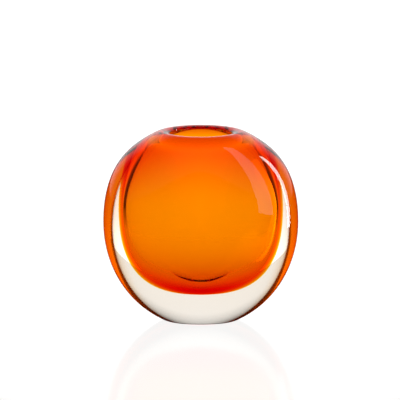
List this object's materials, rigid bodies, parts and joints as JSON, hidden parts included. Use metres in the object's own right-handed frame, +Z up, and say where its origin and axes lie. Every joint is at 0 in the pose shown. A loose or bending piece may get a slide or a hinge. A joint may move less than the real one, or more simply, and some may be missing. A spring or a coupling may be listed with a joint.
{
  "type": "glass bud vase",
  "caption": "Flattened, rounded cased-glass bud vase: a thick clear outer layer with an amber inner layer around a hollow, small oval mouth on top and a flat foot.",
  "frame": {"origin": "centre of the flat foot, on the surface the vase stands on", "axes": "+Z up out of the mouth, +X to the right along the wide way, +Y to the back through the narrow way"},
  "size_m": [0.124, 0.0616, 0.1222],
  "materials": {
    "clear_glass": "polished clear glass",
    "amber_glass": "polished transparent amber glass"
  },
  "bodies": {
    "root": {"clear_casing": "clear_glass", "amber_lining": "amber_glass"}
  },
  "joints": []
}
